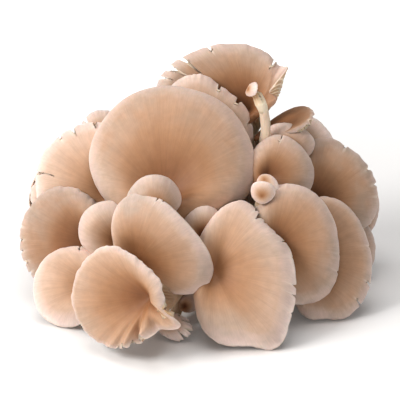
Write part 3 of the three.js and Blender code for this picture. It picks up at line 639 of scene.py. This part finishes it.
class Nodes:
    """A short way to write a material's nodes."""

    def __init__(self, name):
        self.material = bpy.data.materials.new(name)
        self.material.use_nodes = True
        self.tree = self.material.node_tree
        self.tree.nodes.clear()

    def put(self, socket, value):
        """Links a node's output to the socket, or sets the socket to a number or colour."""
        if isinstance(value, bpy.types.NodeSocket):
            self.tree.links.new(value, socket)
        else:
            socket.default_value = value

    def add(self, kind, inputs=None, out=0, **settings):
        """Adds a node and gives its output number out."""
        node = self.tree.nodes.new(kind)
        for key, value in settings.items():
            setattr(node, key, value)
        for key, value in (inputs or {}).items():
            self.put(node.inputs[key], value)
        return node.outputs[out] if len(node.outputs) > out else None

    def math(self, operation, a, b=0.0):
        return self.add("ShaderNodeMath", {0: a, 1: b}, operation=operation)

    def times(self, *values):
        product = values[0]
        for value in values[1:]:
            product = self.math("MULTIPLY", product, value)
        return product

    def mix(self, factor, a, b, blend="MIX"):
        return self.add("ShaderNodeMix", {0: factor, 6: a, 7: b}, out=2, data_type="RGBA", blend_type=blend)

    def split(self, vector):
        node = self.tree.nodes.new("ShaderNodeSeparateXYZ")
        self.put(node.inputs[0], vector)
        return node.outputs[0], node.outputs[1], node.outputs[2]

    def attribute(self, name):
        """The vector that the mesh holds under this name, and its three numbers."""
        vector = self.add("ShaderNodeAttribute", out=1, attribute_name=name, attribute_type="GEOMETRY")
        return vector, *self.split(vector)

    def place(self):
        """Where the point is, in metres from the middle of the base."""
        return self.add("ShaderNodeTexCoord", out=3)

    def noise(self, vector, scale, detail=4.0, roughness=0.55):
        inputs = {"Vector": vector, "Scale": scale, "Detail": detail, "Roughness": roughness}
        return self.add("ShaderNodeTexNoise", inputs, noise_dimensions="3D")

    def stretch(self, vector, scale):
        return self.add("ShaderNodeMapping", {"Vector": vector, "Scale": scale})

    def between(self, value, low, high, to_low=0.0, to_high=1.0):
        """to_low up to low, to_high from high, and a smooth slope between."""
        inputs = {0: value, 1: low, 2: high, 3: to_low, 4: to_high}
        return self.add("ShaderNodeMapRange", inputs, interpolation_type="SMOOTHSTEP")

    def ramp(self, value, stops):
        node = self.tree.nodes.new("ShaderNodeValToRGB")
        self.put(node.inputs[0], value)
        elements = node.color_ramp.elements
        for k, (place, colour) in enumerate(stops):
            element = elements[k] if k < 2 else elements.new(place)
            element.position = place
            element.color = (*colour, 1)
        return node.outputs[0]

    def shade_near_base(self, place):
        """Where painted shade falls: 1 among the stems near the base, and 0 from where the light reaches."""
        x, y, z = self.split(place)
        away = self.math("SQRT", self.math("ADD", self.times(x, x), self.times(y, y)))
        return self.times(self.between(away, *SHADE_RADII), self.between(z, *SHADE_HEIGHTS))

    def finish(self, colour, roughness, height, bump, weight):
        """Flesh that lets a little light through, with bumps of the given height in metres."""
        normal = self.add("ShaderNodeBump", {"Height": height, "Distance": bump, "Strength": 1.0})
        node = self.tree.nodes.new("ShaderNodeBsdfPrincipled")
        self.put(node.inputs["Base Color"], colour)
        self.put(node.inputs["Roughness"], roughness)
        self.put(node.inputs["Normal"], normal)
        node.inputs["Subsurface Weight"].default_value = weight
        node.inputs["Subsurface Radius"].default_value = LIGHT_REACH
        node.inputs["Subsurface Scale"].default_value = SPREAD
        node.inputs["Specular IOR Level"].default_value = SHINE
        self.add("ShaderNodeOutputMaterial", {"Surface": node.outputs[0]})
        return self.material


def cap_material():
    n = Nodes("cap_flesh")
    radial, _, _, _ = n.attribute("radial")
    _, rho, under, ridge = n.attribute("shade")
    _, tone, grey, index = n.attribute("look")
    place = n.place()
    shift = n.add("ShaderNodeCombineXYZ", {0: index, 1: index, 2: index})
    own = n.add("ShaderNodeVectorMath", {0: radial, 1: shift}, operation="ADD")
    coarse = n.noise(n.stretch(own, (9.0, 9.0, 1.1)), 1.0, 5.0)
    fibre = n.noise(n.stretch(own, (34.0, 34.0, 2.0)), 1.0, 6.0, 0.6)
    fine = n.noise(n.stretch(own, (90.0, 90.0, 5.0)), 1.0, 3.0)
    cloud = n.noise(place, 55.0, 3.0)
    grain = n.noise(place, 2600.0, 3.0)
    _, torn, out, _ = n.attribute("edge")
    # Upper side: deep orange brown over the stem, partly painted shade in the funnel, tan, and a paler
    # margin, with grey and rosy patches
    reach = n.math("ADD", rho, n.times(n.math("SUBTRACT", cloud, 0.5), 0.16))
    # tone moves the cap along the ramp: partly its own colour, partly painted shade on caps that lie in shade
    reach = n.math("SUBTRACT", reach, n.times(tone, 0.2))
    skin = n.ramp(reach, SKIN_AND_FUNNEL_SHADE_STOPS)
    patch = n.between(n.noise(place, 42.0, 3.0), 0.44, 0.66)
    skin = n.mix(n.times(n.between(rho, 0.28, 0.5), patch, grey), skin, WORN)
    blush = n.between(n.noise(place, 130.0, 5.0, 0.6), 0.42, 0.62)
    skin = n.mix(n.times(blush, n.between(rho, 0.35, 0.8), 0.3), skin, BLUSH)
    # Fine streaks from the heart to the margin, and small spots, lighter and darker
    mottle = n.between(n.noise(place, 260.0, 4.0, 0.6), 0.32, 0.68, 0.96, 1.035)
    streak = n.between(fibre, 0.3, 0.7, 0.955, 1.04)
    hair = n.between(fine, 0.3, 0.7, 0.96, 1.035)
    broad = n.between(coarse, 0.3, 0.7, 0.955, 1.04)
    # tone also dims the whole cap, partly as painted shade
    light = n.times(streak, broad, hair, mottle, n.between(tone, -0.6, 0.8, 1.08, 0.78))
    skin = n.mix(1.0, skin, n.add("ShaderNodeCombineXYZ", {0: light, 1: light, 2: light}), "MULTIPLY")
    skin = n.mix(n.times(n.between(out, 0.94, 0.985), 0.75), skin, RIM_BAND)
    # Under side: cream gills, with painted shade deeper between them
    gill = n.ramp(ridge, GILL_AND_VALLEY_SHADE_STOPS)
    neck = n.mix(n.between(fibre, 0.3, 0.7), NECK_DARK, NECK_PALE)
    below = n.mix(n.between(ridge, 1.0, 2.2), gill, neck)
    # Painted shade: deep among the stems near the base the under side darkens to brown
    below = n.mix(n.times(n.shade_near_base(place), 0.8), below, PAINTED_SHADE_BROWN)
    colour = n.mix(under, skin, below)
    colour = n.mix(n.times(torn, 0.6), colour, TORN_FLESH)
    height = n.math("ADD", n.times(fibre, 0.7), n.times(fine, 0.35))
    height = n.math("ADD", height, n.times(grain, 0.15))
    roughness = n.between(fibre, 0.3, 0.7, 0.5, 0.64)
    return n.finish(colour, roughness, height, CAP_FIBRES, 0.1)


def stem_material():
    n = Nodes("stem_flesh")
    radial, _, _, _ = n.attribute("radial")
    _, up, _, _ = n.attribute("shade")
    place = n.place()
    fibre = n.noise(n.stretch(radial, (9.0, 9.0, 1.4)), 1.0, 6.0, 0.6)
    fine = n.noise(n.stretch(radial, (30.0, 30.0, 3.0)), 1.0, 4.0)
    cloud = n.noise(place, 70.0, 4.0)
    grain = n.noise(place, 1800.0, 3.0)
    # Cream above, browner lower down, with earth on the base
    colour = n.ramp(fibre, STEM_STOPS)
    colour = n.mix(n.times(n.between(up, 1.0, 0.45), 0.8), colour, STEM_FOOT)
    earth = n.times(n.between(up, 0.5, 0.0), n.between(cloud, 0.45, 0.7), 0.75)
    colour = n.mix(earth, colour, EARTH)
    height = n.math("ADD", n.times(fibre, 0.6), n.times(fine, 0.3))
    height = n.math("ADD", height, n.times(grain, 0.15))
    return n.finish(colour, n.between(fibre, 0.3, 0.7, 0.6, 0.75), height, STEM_FIBRES, 0.2)


def make_floor():
    mesh = bpy.data.meshes.new("floor")
    mesh.from_pydata([(-3, -3, 0), (3, -3, 0), (3, 3, 0), (-3, 3, 0)], [], [(0, 1, 2, 3)])
    floor = bpy.data.objects.new("floor", mesh)
    bpy.context.collection.objects.link(floor)
    n = Nodes("pale_floor")
    place = n.place()
    tint = n.mix(n.noise(place, 12.0), *FLOOR_TINTS)
    node = n.tree.nodes.new("ShaderNodeBsdfPrincipled")
    n.put(node.inputs["Base Color"], tint)
    node.inputs["Roughness"].default_value = 0.7
    # Away from the cluster the floor shines a little, so that it meets the white behind it without an edge
    away = n.add("ShaderNodeVectorMath", {0: place}, out=1, operation="LENGTH")
    node.inputs["Emission Color"].default_value = (1, 1, 1, 1)
    n.put(node.inputs["Emission Strength"], n.between(away, 0.15, 0.6, 0.04, 0.75))
    n.add("ShaderNodeOutputMaterial", {"Surface": node.outputs[0]})
    mesh.materials.append(n.material)


def add_light(name, place, size, power, colour=(1, 1, 1)):
    lamp = bpy.data.lights.new(name, "AREA")
    lamp.shape = "DISK"
    lamp.size = size
    lamp.energy = power
    lamp.color = colour
    holder = bpy.data.objects.new(name, lamp)
    holder.location = place
    holder.rotation_euler = (Vector(LIGHTS_AIM) - Vector(place)).to_track_quat("-Z", "Y").to_euler()
    bpy.context.collection.objects.link(holder)


def make_studio():
    scene = bpy.context.scene
    world = bpy.data.worlds.new("studio")
    world.use_nodes = True
    background = world.node_tree.nodes["Background"]
    background.inputs[0].default_value = STUDIO_WHITE
    background.inputs[1].default_value = STUDIO_LIGHT
    scene.world = world
    add_light("key", (-0.9, -0.5, 0.8), 0.6, 14.3, (1, 0.985, 0.965))
    add_light("top", (-0.05, 0.0, 1.1), 0.9, 5.5)
    add_light("fill", (0.5, -1.1, 0.4), 0.8, 1.0)
    scene.view_settings.view_transform = "Standard"
    tilt = math.radians(CAMERA_TILT)
    camera = bpy.data.cameras.new("camera")
    camera.lens = CAMERA_LENS
    camera.sensor_width = CAMERA_SENSOR
    holder = bpy.data.objects.new("camera", camera)
    holder.location = Vector(CAMERA_AIM) + CAMERA_DISTANCE * Vector((0, -math.cos(tilt), math.sin(tilt)))
    holder.rotation_euler = (math.radians(90) - tilt, 0, 0)
    bpy.context.collection.objects.link(holder)
    scene.camera = holder


make_studio()
make_floor()
mushrooms = [Mushroom(index, row) for index, row in enumerate(MUSHROOMS)]
skin = cap_material()
for mushroom in mushrooms:
    make_cap(mushroom, skin)
make_base(mushrooms, stem_material())
